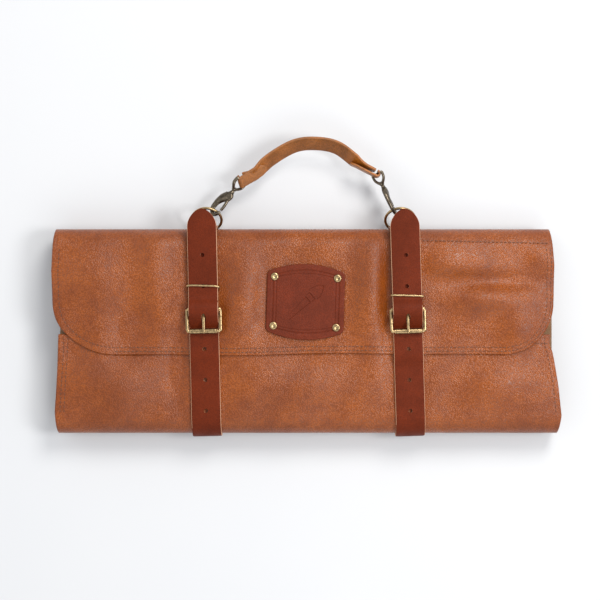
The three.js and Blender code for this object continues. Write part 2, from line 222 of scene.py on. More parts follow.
def sweep(name, path, half_width, half_height, material, across=(1, 0, 0), sides=16, square=2.0,
          closed=False):
    """A superellipse section |x/a|^n + |y/b|^n = 1 carried along the path. a lies along `across`, squared up
    to the path, and may change from point to point, as b may. Open ends close on their middle."""
    path = np.asarray(path, float)
    tangent = np.roll(path, -1, 0) - np.roll(path, 1, 0) if closed else np.gradient(path, axis=0)
    tangent /= np.linalg.norm(tangent, axis=1, keepdims=True)
    across = np.broadcast_to(np.asarray(across, float), path.shape)
    side = across - tangent * np.sum(across * tangent, 1, keepdims=True)
    side /= np.linalg.norm(side, axis=1, keepdims=True)
    up = np.cross(tangent, side)
    angle = np.linspace(0, 2 * np.pi, sides, endpoint=False)
    power = 2 / square
    x = np.sign(np.cos(angle)) * np.abs(np.cos(angle)) ** power
    y = np.sign(np.sin(angle)) * np.abs(np.sin(angle)) ** power
    a = np.broadcast_to(half_width, len(path))[:, None, None]
    b = np.broadcast_to(half_height, len(path))[:, None, None]
    grid = path[:, None] + side[:, None] * a * x[None, :, None] + up[:, None] * b * y[None, :, None]
    faces = grid_faces(len(path), sides, wrap_rows=closed, wrap_columns=True)
    points = grid.reshape(-1, 3)
    if not closed:
        last = (len(path) - 1) * sides
        j = np.arange(sides)
        points = np.concatenate([points, path[:1], path[-1:]])
        first_cap = np.stack([j, (j + 1) % sides, np.full(sides, len(points) - 2)], 1)
        last_cap = np.stack([last + (j + 1) % sides, last + j, np.full(sides, len(points) - 1)], 1)
        faces = [*faces.tolist(), *first_cap.tolist(), *last_cap.tolist()]
    piece = make_mesh(name, points, faces, material)
    face_outwards(piece)
    return piece


def joined(name, pieces):
    """One object made of several closed shells."""
    bpy.ops.object.select_all(action="DESELECT")
    for piece in pieces:
        piece.select_set(True)
    bpy.context.view_layer.objects.active = pieces[0]
    bpy.ops.object.join()
    pieces[0].name = name
    return pieces[0]


# Swells and dips of the loose front: centre x, y, height, half width along x, half width along y
SWELLS = np.array([
    (-200, 5, 4.5, 34, 30), (-182, -25, -2.5, 18, 40), (-150, 10, 2.5, 16, 46), (-62, -5, 3.6, 20, 60),
    (66, 0, 3.4, 15, 60), (84, -5, -2.6, 8, 70), (150, 22, 3.2, 34, 14), (185, -12, 3.4, 40, 13),
    (215, -40, 3.0, 20, 22), (185, 6, -2.2, 60, 9), (0, -100, 3.0, 60, 22), (-190, -100, 3.2, 34, 24),
    (190, -100, 3.4, 40, 24), (-230, -60, -2.0, 16, 18), (235, 30, 2.0, 14, 12), (-128, -80, -1.8, 12, 40),
])

# Middles, along x, of the two bands that the belts press flat
PRESSED_FLAT = (-101.5, 103.0)


def front_relief(x, y):
    """Sum of Gaussian swells, pulled down to nothing under each belt and the badge and near the folds,
    with two slow ripples along the case."""
    x = np.asarray(x, float)
    y = np.asarray(y, float)
    amount = bpy.context.scene.roll_leather.undulation
    height = 0.5 * np.sin(x / MM / 23 + y / MM / 40) + 0.35 * np.sin(x / MM / 9.5 - y / MM / 17 + 1.3)
    for cx, cy, rise, wide, tall in SWELLS:
        height = height + rise * np.exp(-((x / MM - cx) / wide) ** 2 - ((y / MM - cy) / tall) ** 2)
    for belt in PRESSED_FLAT:
        height = height * (1 - np.exp(-((x / MM - belt) / 21) ** 4))
    height = height * (1 - np.exp(-(x / MM / 47) ** 8 - ((y / MM + 15) / 42) ** 8))
    return np.maximum(height, -1.5) * amount * MM


def edge_wander(x, phase):
    """Slow sideways wander of a hand-cut edge, a sum of two sines."""
    return (0.8 * np.sin(x / MM / 61 + phase) + 0.5 * np.sin(x / MM / 27 + 2 * phase)) * MM


# ---------------------------------------------------------------- materials


def new_group(name, inputs, outputs):
    """An empty shader node group with named sockets."""
    group = bpy.data.node_groups.new(name, "ShaderNodeTree")
    for label, kind, value in inputs:
        socket = group.interface.new_socket(label, in_out="INPUT", socket_type=kind)
        socket.default_value = value
    for label, kind in outputs:
        group.interface.new_socket(label, in_out="OUTPUT", socket_type=kind)
    return group, group.nodes.new("NodeGroupInput"), group.nodes.new("NodeGroupOutput")


def noise(tree, vector, scale, detail=4.0, rough=0.55):
    """Output of a noise texture read at the given vector."""
    node = tree.nodes.new("ShaderNodeTexNoise")
    node.inputs["Scale"].default_value = scale
    node.inputs["Detail"].default_value = detail
    node.inputs["Roughness"].default_value = rough
    tree.links.new(vector, node.inputs["Vector"])
    return node.outputs["Fac"]


def math_node(tree, operation, first, second):
    """Output of a maths node; each input is a number or a socket."""
    node = tree.nodes.new("ShaderNodeMath")
    node.operation = operation
    for socket, value in zip(node.inputs, (first, second)):
        if isinstance(value, (int, float)):
            socket.default_value = value
        else:
            tree.links.new(value, socket)
    return node.outputs[0]


def mix_colour(tree, amount, first, second):
    """Colour between two colours; each input is a value or a socket."""
    node = tree.nodes.new("ShaderNodeMix")
    node.data_type = "RGBA"
    for socket, value in zip((node.inputs[0], node.inputs[6], node.inputs[7]), (amount, first, second)):
        if isinstance(value, (int, float)):
            socket.default_value = value
        elif isinstance(value, tuple):
            socket.default_value = value
        else:
            tree.links.new(value, socket)
    return node.outputs[2]


def ramp(tree, value, low, high):
    """Smooth step from 0 at low to 1 at high."""
    node = tree.nodes.new("ShaderNodeMapRange")
    node.interpolation_type = "SMOOTHSTEP"
    node.inputs["From Min"].default_value = low
    node.inputs["From Max"].default_value = high
    tree.links.new(value, node.inputs["Value"])
    return node.outputs["Result"]


def leather_grain_group():
    """Pebbled grain: rounded Voronoi cells broken up by noise, with creases."""
    group, given, out = new_group(
        "Leather grain", [("Pebble Size", "NodeSocketFloat", 700.0), ("Crease", "NodeSocketFloat", 0.5)],
        [("Height", "NodeSocketFloat"), ("Mottle", "NodeSocketFloat"), ("Pores", "NodeSocketFloat")])
    place = group.nodes.new("ShaderNodeTexCoord").outputs["Object"]
    warp = group.nodes.new("ShaderNodeTexNoise")
    warp.inputs["Scale"].default_value = 260.0
    group.links.new(place, warp.inputs["Vector"])
    bend = group.nodes.new("ShaderNodeVectorMath")
    bend.operation = "MULTIPLY_ADD"
    bend.inputs[1].default_value = (0.0016, 0.0016, 0.0016)
    group.links.new(warp.outputs["Color"], bend.inputs[0])
    group.links.new(place, bend.inputs[2])
    cells = group.nodes.new("ShaderNodeTexVoronoi")
    cells.feature = "SMOOTH_F1"
    cells.inputs["Smoothness"].default_value = 0.35
    group.links.new(bend.outputs[0], cells.inputs["Vector"])
    group.links.new(given.outputs["Pebble Size"], cells.inputs["Scale"])
    pebble = ramp(group, cells.outputs["Distance"], 0.75, 0.1)
    fine = noise(group, place, 2600.0, 2.0)
    creases = ramp(group, noise(group, bend.outputs[0], 95.0, 6.0, 0.7), 0.42, 0.5)
    height = math_node(group, "MULTIPLY_ADD", fine, 0.25)
    group.links.new(pebble, height.node.inputs[2])
    creased = math_node(group, "MULTIPLY", creases, given.outputs["Crease"])
    group.links.new(math_node(group, "ADD", height, creased), out.inputs["Height"])
    broad = noise(group, place, 16.0, 5.0, 0.6)
    middle = noise(group, place, 85.0, 4.0, 0.65)
    broad = math_node(group, "MULTIPLY", broad, 0.6)
    middle = math_node(group, "MULTIPLY", middle, 0.4)
    mottle = math_node(group, "ADD", broad, middle)
    group.links.new(ramp(group, mottle, 0.36, 0.64), out.inputs["Mottle"])
    group.links.new(ramp(group, pebble, 0.55, 0.1), out.inputs["Pores"])
    return group


def edge_wear_group():
    """Mask of rubbed edges from the Pointiness of the surface, broken up by noise."""
    group, given, out = new_group(
        "Edge wear", [("Low", "NodeSocketFloat", 0.51), ("High", "NodeSocketFloat", 0.58)],
        [("Wear", "NodeSocketFloat")])
    point = group.nodes.new("ShaderNodeNewGeometry").outputs["Pointiness"]
    place = group.nodes.new("ShaderNodeTexCoord").outputs["Object"]
    rough = math_node(group, "MULTIPLY", noise(group, place, 400.0), 0.04)
    value = math_node(group, "ADD", point, math_node(group, "SUBTRACT", rough, 0.02))
    node = group.nodes.new("ShaderNodeMapRange")
    group.links.new(value, node.inputs["Value"])
    group.links.new(given.outputs["Low"], node.inputs["From Min"])
    group.links.new(given.outputs["High"], node.inputs["From Max"])
    group.links.new(node.outputs["Result"], out.inputs["Wear"])
    return group


def shared_group(make, name):
    """The node group of that name, made on first use."""
    return bpy.data.node_groups.get(name) or make()


def place_group(tree, group, **values):
    """A node that uses the group, with its values set on its sockets."""
    node = tree.nodes.new("ShaderNodeGroup")
    node.node_tree = group
    for label, value in values.items():
        node.inputs[label.replace("_", " ")].default_value = value
    return node


def new_material(name):
    """A new material, its node tree and its shader."""
    material = bpy.data.materials.new(name)
    material.use_nodes = True
    return material, material.node_tree, material.node_tree.nodes["Principled BSDF"]


def bump_into(tree, shader, height, strength, distance):
    """Raises the shader's surface by a height map."""
    bump = tree.nodes.new("ShaderNodeBump")
    bump.inputs["Strength"].default_value = strength
    bump.inputs["Distance"].default_value = distance
    tree.links.new(height, bump.inputs["Height"])
    tree.links.new(bump.outputs["Normal"], shader.inputs["Normal"])


def leather(name, light, dark, pebble, relief, rough=(0.42, 0.62), edge=None, crease=0.3, gloss=0.35):
    """Leather: mottled colour between two tones, dark pores, pebbled relief and, where the piece marks its
    cut edge, the raw edge colour."""
    if name in bpy.data.materials:
        return bpy.data.materials[name]
    material, tree, shader = new_material(name)
    grain_group = shared_group(leather_grain_group, "Leather grain")
    grain = place_group(tree, grain_group, Pebble_Size=pebble, Crease=crease)
    colour = mix_colour(tree, grain.outputs["Mottle"], (*dark, 1.0), (*light, 1.0))
    deep = tuple(0.45 * c for c in dark)
    colour = mix_colour(tree, math_node(tree, "MULTIPLY", grain.outputs["Pores"], 0.45), colour, (*deep, 1.0))
    if edge is not None:
        mark = tree.nodes.new("ShaderNodeAttribute")
        mark.attribute_name = "cut_edge"
        colour = mix_colour(tree, mark.outputs["Fac"], colour, (*edge, 1.0))
    tree.links.new(colour, shader.inputs["Base Color"])
    low, high = rough
    rise = math_node(tree, "MULTIPLY", grain.outputs["Mottle"], low - high)
    tree.links.new(math_node(tree, "ADD", rise, high), shader.inputs["Roughness"])
    shader.inputs["Specular IOR Level"].default_value = gloss
    bump_into(tree, shader, grain.outputs["Height"], relief, 0.0004)
    return material


def metal(name, bright, dark, rough=0.3):
    """Antique metal: bright where rubbed, darker patina elsewhere, fine scratches in the relief."""
    if name in bpy.data.materials:
        return bpy.data.materials[name]
    material, tree, shader = new_material(name)
    place = tree.nodes.new("ShaderNodeTexCoord").outputs["Object"]
    wear = place_group(tree, shared_group(edge_wear_group, "Edge wear"))
    patina = ramp(tree, noise(tree, place, 330.0, 5.0, 0.65), 0.35, 0.62)
    shade = mix_colour(tree, patina, (*dark, 1.0), (*bright, 1.0))
    tree.links.new(mix_colour(tree, wear.outputs["Wear"], shade, (*(min(1.0, 1.7 * c) for c in bright), 1.0)),
                   shader.inputs["Base Color"])
    shader.inputs["Metallic"].default_value = 1.0
    spread = math_node(tree, "MULTIPLY", noise(tree, place, 700.0), 0.22)
    tree.links.new(math_node(tree, "ADD", spread, rough - 0.08), shader.inputs["Roughness"])
    bump_into(tree, shader, noise(tree, place, 1500.0, 3.0), 0.12, 0.0002)
    return material


def hide():
    s = bpy.context.scene.roll_leather
    return leather("Pebbled hide", tuple(s.hide_colour), tuple(s.hide_dark), pebble=760.0, relief=0.6,
                   rough=(0.25, 0.38), crease=0.3, gloss=0.38)


def belt_leather():
    s = bpy.context.scene.roll_leather
    light = tuple(s.belt_colour)
    return leather("Belt leather", light, tuple(0.72 * c for c in light), pebble=1500.0, relief=0.3,
                   rough=(0.46, 0.62), edge=tuple(s.edge_colour), crease=0.1, gloss=0.12)


def badge_leather():
    light = tuple(bpy.context.scene.roll_leather.belt_colour)
    return leather("Badge leather", tuple(1.12 * c for c in light), tuple(0.8 * c for c in light),
                   pebble=1100.0, relief=0.35, rough=(0.42, 0.6), crease=0.2, gloss=0.2)


def handle_leather():
    s = bpy.context.scene.roll_leather
    light = tuple(s.handle_colour)
    return leather("Handle leather", light, tuple(0.5 * c for c in light), pebble=800.0, relief=0.4,
                   rough=(0.3, 0.5), edge=tuple(0.8 * c for c in s.edge_colour))


def suede():
    return leather("Suede", (0.3, 0.17, 0.09), (0.21, 0.11, 0.055), pebble=2400.0, relief=0.5,
                   rough=(0.85, 0.95), crease=0.6)


def brass():
    bright = tuple(bpy.context.scene.roll_hardware.brass_colour)
    return metal("Antique brass", bright, tuple(0.42 * c for c in bright))


def hook_metal():
    bright = tuple(bpy.context.scene.roll_hardware.dark_metal)
    return metal("Hook metal", bright, tuple(0.4 * c for c in bright), 0.26)


def thread():
    """Waxed thread: dark brown with a fine twist in colour and relief."""
    if "Thread" in bpy.data.materials:
        return bpy.data.materials["Thread"]
    material, tree, shader = new_material("Thread")
    place = tree.nodes.new("ShaderNodeTexCoord").outputs["Object"]
    tone = tuple(bpy.context.scene.roll_hardware.thread_colour)
    fleck = noise(tree, place, 1900.0)
    tree.links.new(mix_colour(tree, fleck, (*(0.5 * c for c in tone), 1.0), (*(1.5 * c for c in tone), 1.0)),
                   shader.inputs["Base Color"])
    shader.inputs["Roughness"].default_value = 0.6
    bump_into(tree, shader, fleck, 0.4, 0.0002)
    return material


def mark_cut_edges(piece, limit=0.55):
    """Marks the side walls of a strap, whose normals lie nearly flat, as raw cut leather."""
    mesh = piece.data
    normals = np.zeros(len(mesh.polygons) * 3)
    mesh.polygons.foreach_get("normal", normals)
    flat = np.abs(normals.reshape(-1, 3)[:, 0]) > limit
    mark = mesh.attributes.new("cut_edge", "FLOAT", "FACE")
    mark.data.foreach_set("value", flat.astype(np.float32))


# ---------------------------------------------------------------- places

PIVOT_Y = -58.2 * MM
BELTS = {"left": (-101.5 * MM, math.radians(1.25)), "right": (102.5 * MM, math.radians(1.8))}
BELT_HALF = 14.7 * MM
# Outline of the hide at the two ends, as (y, x) in mm
LEFT_FLAP_END = np.array([(-90, -253), (-24, -253), (16, -254.8), (56, -252.5)])
RIGHT_FLAP_END = np.array([(-90, 247), (-22, 247.6), (22, 248.4), (56, 245.5)])
LEFT_LOWER_END = np.array([(-149, -250), (-125, -251.8), (-81, -249.3), (-37, -247.5)])
RIGHT_LOWER_END = np.array([(-149, 253.5), (-129, 256), (-100, 252.8), (-66, 247), (-58, 244), (-40, 245.5)])
CORNER_TALL = 50 * MM
LEFT_CORNER_WIDE = 64 * MM
RIGHT_CORNER_WIDE = 50 * MM


def belt_place(side, across, y, z):
    """Point of a leaning belt: `across` from its centre line at height y along it, turned about the pivot."""
    x0, lean = BELTS[side]
    across, y, z = np.broadcast_arrays(*(np.asarray(v, float) for v in (across, y, z)))
    dy = y - PIVOT_Y
    return np.stack([x0 + across * math.cos(lean) - dy * math.sin(lean),
                     PIVOT_Y + across * math.sin(lean) + dy * math.cos(lean), z], -1)


def belt_across(side):
    """Direction across the leaning belt."""
    lean = BELTS[side][1]
    return (math.cos(lean), math.sin(lean), 0.0)


def ends_at(y, left, right):
    """Left and right ends of the hide at height y, eased between the outline's points."""
    y = np.asarray(y, float) / MM
    return np.interp(y, left[:, 0], left[:, 1]) * MM, np.interp(y, right[:, 0], right[:, 1]) * MM


def flap_ends(y):
    """Flap ends: the outline, drawn in by a quarter ellipse at each lower corner."""
    left, right = ends_at(y, LEFT_FLAP_END, RIGHT_FLAP_END)
    into = np.clip((FLAP_EDGE + CORNER_TALL - y) / CORNER_TALL, 0, 1)
    inset = 1 - np.sqrt(1 - np.minimum(into, 0.9995) ** 2)
    return left + LEFT_CORNER_WIDE * inset, right - RIGHT_CORNER_WIDE * inset


def flap_top(x, y):
    """Height of the flap's outer face."""
    return FLAP_Z + front_relief(x, y)


def lower_top(x, y):
    """Height of the front panel's outer face: the same swells as the flap lies on."""
    return FRONT_Z + front_relief(x, y)


def shell_grid(rows_y, rows_z, left, right, columns=330, relief=None):
    """Rows across the case: each row is at one y and base height, from its left end to its right end, and the
    relief lifts the points outwards by the share given for the row."""
    u = np.linspace(0, 1, columns)[None, :]
    x = left[:, None] * (1 - u) + right[:, None] * u
    y = np.repeat(rows_y[:, None], columns, 1)
    z = np.repeat(rows_z[:, None], columns, 1)
    z = z + relief[:, None] * front_relief(x, y)
    return np.stack([x, y, z], 2)


def fold_rows(centre_y, radius, turn, count=26):
    """Half circle round a fold: y and z of its rows, from the back (turn 1) or from the front (turn -1)."""
    angle = np.linspace(-math.pi / 2, math.pi / 2, count)
    way = 1 if centre_y > 0 else -1
    y = centre_y + way * radius * np.cos(angle)
    z = BACK_Z + radius + turn * radius * np.sin(angle)
    return y, z, np.clip((turn * np.sin(angle) + 1) / 2, 0, 1) ** 2


class ROLL_OT_shell(bpy.types.Operator):
    """One hide in three falls: back, lower front with its fold, and flap with its fold"""

    bl_idname = "roll.shell"
    bl_label = "Shell"
    bl_options = {"REGISTER", "UNDO"}

    def execute(self, context):
        y, z, share = fold_rows(TOP_Y, TOP_R, 1)
        along = (1 - np.cos(np.linspace(0, math.pi / 2, 110)[1:])) * 0.25 + np.linspace(0, 1, 110)[1:] * 0.75
        flap_y = TOP_Y + (FLAP_EDGE - TOP_Y) * np.sin(along * math.pi / 2)
        y = np.concatenate([y, flap_y])
        z = np.concatenate([z, np.full(len(flap_y), FLAP_Z)])
        share = np.concatenate([share, np.ones(len(flap_y))])
        left, right = flap_ends(y)
        grid = shell_grid(y, z, left, right, relief=share)
        fade = np.clip(-grid[:, :, 1] / 0.06, 0, 1) ** 3
        grid[:, :, 1] += edge_wander(grid[:, :, 0], 0.4) * fade
        upper = leather_sheet("upper_shell", grid, HIDE, hide())
        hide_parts("flap_panel", "top_fold")
        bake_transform(upper)

        y, z, share = fold_rows(BOTTOM_Y, BOTTOM_R, -1)
        front_y = np.linspace(FRONT[1].y, BOTTOM_Y, 70)[:-1]
        y = np.concatenate([front_y, y])
        z = np.concatenate([np.full(len(front_y), FRONT_Z), z])
        share = np.concatenate([np.ones(len(front_y)), share])
        left, right = ends_at(y, LEFT_LOWER_END, RIGHT_LOWER_END)
        lower = leather_sheet("lower_shell", shell_grid(y, z, left, right, relief=share), HIDE, hide())
        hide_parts("front_panel", "bottom_fold")
        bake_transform(lower)

        y = np.linspace(BOTTOM_Y, TOP_Y, 60)
        share = np.linspace(0, 1, 60)
        low_left, low_right = ends_at(y, LEFT_LOWER_END, RIGHT_LOWER_END)
        top_left, top_right = ends_at(y, LEFT_FLAP_END, RIGHT_FLAP_END)
        left = low_left * (1 - share) + top_left * share
        right = low_right * (1 - share) + top_right * share
        grid = shell_grid(y, np.full(60, BACK_Z), left, right, relief=np.zeros(60))
        inside = np.sin(np.linspace(0, math.pi, 60))[:, None]
        grid[:, :, 2] += 0.5 * MM * inside * (1 + np.sin(grid[:, :, 0] / MM / 31)) / 2
        back = leather_sheet("back_shell", grid, HIDE, hide())
        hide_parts("back_panel")
        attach(back, "root")
        return {"FINISHED"}


class ROLL_OT_lining(bpy.types.Operator):
    """Suede lining and the brush pocket with its sewn channels"""

    bl_idname = "roll.lining"
    bl_label = "Lining"
    bl_options = {"REGISTER", "UNDO"}

    def execute(self, context):
        low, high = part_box("back_lining")
        x, y = np.meshgrid(np.linspace(high.x, low.x, 160), np.linspace(low.y, high.y, 60))
        z = high.z + 0.15 * MM * np.sin(x / MM / 13) * np.cos(y / MM / 17)
        lining = leather_sheet("suede_lining", np.stack([x, y, z], 2), high.z - low.z, suede())
        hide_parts("back_lining")
        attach(lining, "root")
        low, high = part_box("brush_pocket_panel")
        x, y = np.meshgrid(np.linspace(high.x, low.x, 60), np.linspace(low.y, high.y, 140))
        channel = (y - low.y) / (high.y - low.y) * 5
        mouth = np.clip((high.x - 8 * MM - x) / (60 * MM), 0, 1)
        z = high.z + 1.6 * MM * np.abs(np.sin(channel * math.pi)) * mouth
        pocket = leather_sheet("brush_pocket", np.stack([x, y, z], 2), high.z - low.z, suede())
        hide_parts("brush_pocket_panel")
        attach(pocket, "root")
        low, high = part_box("pocket_binding")
        path = np.stack([np.full(70, (low.x + high.x) / 2), np.linspace(low.y, high.y, 70),
                         np.full(70, (low.z + high.z) / 2)], 1)
        binding = sweep("pocket_edge_binding", path, (high.x - low.x) / 2, (high.z - low.z) / 2, hide(),
                        sides=14, square=3.0)
        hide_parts("pocket_binding")
        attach(binding, "root")
        return {"FINISHED"}


def stitch_row(name, path, normal=(0, 0, 1)):
    """A run of stitches along a path: each is a small spindle, r = R sin(t)^0.6 along its length, four rings
    of six points, sunk by half the thread into the leather."""
    s = bpy.context.scene.roll_hardware
    path = np.asarray(path, float)
    length = np.sum(np.linalg.norm(np.diff(path, axis=0), axis=1))
    count = max(2, int(length / s.stitch_pitch))
    at = resample(path, count + 1)
    middle, along = (at[1:] + at[:-1]) / 2, at[1:] - at[:-1]
    along = along / np.linalg.norm(along, axis=1, keepdims=True)
    up = np.broadcast_to(np.asarray(normal, float), middle.shape)
    side = np.cross(along, up)
    side /= np.linalg.norm(side, axis=1, keepdims=True)
    t = np.linspace(0.06, 0.94, 5) * math.pi
    rings = s.stitch_radius * np.sin(t) ** 0.6
    reach = -np.cos(t) * s.stitch_pitch * 0.37
    angle = np.linspace(0, 2 * math.pi, 6, endpoint=False)
    points = (middle[:, None, None] + along[:, None, None] * reach[None, :, None, None]
              + side[:, None, None] * (rings[:, None] * np.cos(angle))[None, :, :, None]
              + up[:, None, None] * ((rings[:, None] * np.sin(angle))[None, :, :, None] + 0.1 * MM))
    body = grid_faces(5, 6, wrap_columns=True)
    caps = [(5, 4, 3, 2, 1, 0), (24, 25, 26, 27, 28, 29)]
    faces = [tuple(np.array(f) + 30 * k) for k in range(count) for f in [*body, *caps]]
    row = make_mesh(name, points, faces, thread())
    face_outwards(row)
    return row


class ROLL_OT_stitching(bpy.types.Operator):
    """Rows of stitches along the flap's edge, the ends of the case and the pocket seams"""

    bl_idname = "roll.stitching"
    bl_label = "Stitching"
    bl_options = {"REGISTER", "UNDO"}

    def flap_path(self, inset):
        """Path inside the flap's edge: down the left end, round both corners and up the right end."""
        y = FLAP_EDGE + inset + (TOP_Y - FLAP_EDGE - inset) * np.linspace(1, 0, 120) ** 1.6
        into = np.clip((FLAP_EDGE + CORNER_TALL - y) / (CORNER_TALL - inset), 0, 1)
        curve = 1 - np.sqrt(1 - into ** 2)
        left, right = ends_at(y, LEFT_FLAP_END, RIGHT_FLAP_END)
        left = left + inset + (LEFT_CORNER_WIDE - inset) * curve
        right = right - inset - (RIGHT_CORNER_WIDE - inset) * curve
        straight = np.linspace(left[-1], right[-1], 90)[1:-1]
        x = np.concatenate([left, straight, right[::-1]])
        y = np.concatenate([y, np.full(88, y[-1]), y[::-1]])
        y = y + edge_wander(x, 0.4) * np.clip(-y / 0.06, 0, 1) ** 3
        return np.stack([x, y, flap_top(x, y)], 1)

    def execute(self, context):
        rows = [stitch_row("flap_row", self.flap_path(6.5 * MM))]
        rows.append(stitch_row("flap_edge_row", self.flap_path(2.6 * MM)[118:330]))
        x = np.linspace(116 * MM, 243 * MM, 90)
        y = 46.5 * MM - (x - 116 * MM) * 0.022
        rows.append(stitch_row("pocket_row", np.stack([x, y, flap_top(x, y)], 1)))
        flap_rows = joined("flap_stitching", rows)
        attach(flap_rows, "flap")

        rows = []
        for outline, way, inset in ((LEFT_LOWER_END, 1, 5), (RIGHT_LOWER_END, -1, 5), (LEFT_LOWER_END, 1, 9)):
            y = np.linspace(FRONT[1].y - 2 * MM, BOTTOM_Y + 3 * MM, 60)
            x = np.interp(y / MM, outline[:, 0], outline[:, 1]) * MM + way * inset * MM
            rows.append(stitch_row("end_row", np.stack([x, y, lower_top(x, y)], 1)))
        x = np.linspace(222 * MM, 243 * MM, 12)
        y = np.full(12, -57 * MM)
        rows.append(stitch_row("pocket_tack", np.stack([x, y, lower_top(x, y)], 1)))
        lower_rows = joined("front_stitching", rows)
        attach(lower_rows, "front")
        return {"FINISHED"}


class ROLL_OT_belts(bpy.types.Operator):
    """Both belts: the run on the back, the strap that holds the buckle, and the punched free tail"""

    bl_idname = "roll.belts"
    bl_label = "Belts"
    bl_options = {"REGISTER", "UNDO"}

    def path(self, side, points, count):
        points = np.asarray(points, float) * MM
        return resample(belt_place(side, 0, points[:, 0], points[:, 1]), count)

    def strap(self, name, side, points, count, thickness, body, nodes, tip=False):
        path = self.path(side, points, count)
        width = np.full(count, BELT_HALF)
        if tip:
            travelled = np.cumsum(np.linalg.norm(np.diff(path, axis=0, prepend=path[:1]), axis=1))
            left = np.clip((travelled[-1] - travelled) / (18 * MM), 0, 1)
            width = BELT_HALF * np.clip(1 - (1 - left) ** 1.9, 0.004, 1) ** 0.62
        piece = sweep(name, path, width, thickness / 2 * MM, belt_leather(), belt_across(side), 28, 9.0)
        if tip:
            self.punch(piece, side)
        mark_cut_edges(piece)
        piece.data.set_sharp_from_angle(angle=math.radians(32))
        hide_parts(*nodes)
        if body == "root":
            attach(piece, body)
        else:
            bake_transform(piece)
        return piece

    def punch(self, piece, side):
        """Cuts the round holes, 31 mm apart, and the prong's oval hole through the tail."""
        below, tall, sides = 30 * MM, 35 * MM, 24
        angle = np.linspace(0, 2 * math.pi, sides, endpoint=False)
        holes = [(y, 2.1, 2.1) for y in (-124.2, -93.2, -62.2, 0.6, 31.6)]
        holes.append((-31.6, 2.3, 4.8))
        points, faces = [], []
        for k, (y, wide, long) in enumerate(holes):
            ring = belt_place(side, wide * MM * np.cos(angle), (y + long * np.sin(angle)) * MM, below)
            points += [ring, ring + np.array([0, 0, tall])]
            j = np.arange(sides)
            low = 2 * sides * k + j
            after = 2 * sides * k + (j + 1) % sides
            faces += [tuple(low[::-1]), tuple(low + sides)]
            faces += [tuple(f) for f in np.stack([low, after, after + sides, low + sides], 1)]
        cutter = make_mesh("hole_cutter", np.concatenate(points), faces, belt_leather(), False)
        cut = piece.modifiers.new("holes", "BOOLEAN")
        cut.object = cutter
        cut.operation = "DIFFERENCE"
        cut.solver = "EXACT"
        bpy.context.view_layer.objects.active = piece
        bpy.ops.object.modifier_apply(modifier=cut.name)
        bpy.data.objects.remove(cutter)

    def execute(self, context):
        angle = np.linspace(0, math.pi, 15)
        for side in SIDES:
            y0, y1 = BOTTOM_Y / MM, TOP_Y / MM
            self.strap(f"{side}_belt_back", side, [(y0 - 1, 1.5), (0, 1.5), (y1 + 1, 1.5)], 60, 3.0, "root",
                       [f"{side}_strap_back"])
            fold = [(y1 + 22.4 * math.sin(a), 23.7 - 22.4 * math.cos(a)) for a in angle]
            strap = [*fold, (20, 46), (-6, 46), (-11, 46.4), (-18, 50.6), (-22.2, 52), (-25.2, 49),
                     (-22.2, 46), (-17, 45.9)]
            self.strap(f"{side}_buckle_belt", side, strap, 190, 2.2, "flap",
                       [f"{side}_buckle_strap", f"{side}_strap_top_fold"])
            fold = [(y0 - 20.2 * math.sin(a), 21.7 - 20.2 * math.cos(a)) for a in angle]
            tail = [*fold, (-104, 42), (-84, 42), (-77, 42.7), (-69, 44.6), (-58, 44.6), (-43, 44.7),
                    (-38, 46.2), (-31.6, 51.1), (-27, 54.4), (-22.2, 55), (-18, 53.7), (-12, 50),
                    (-6, 49.1), (20, 48.9), (50, 48.7), (70, 48.2), (78.2, 47.6)]
            self.strap(f"{side}_belt_tail", side, tail, 330, 3.0, f"{side}_strap",
                       [f"{side}_strap_tail", f"{side}_strap_bottom_fold"], tip=True)
        return {"FINISHED"}


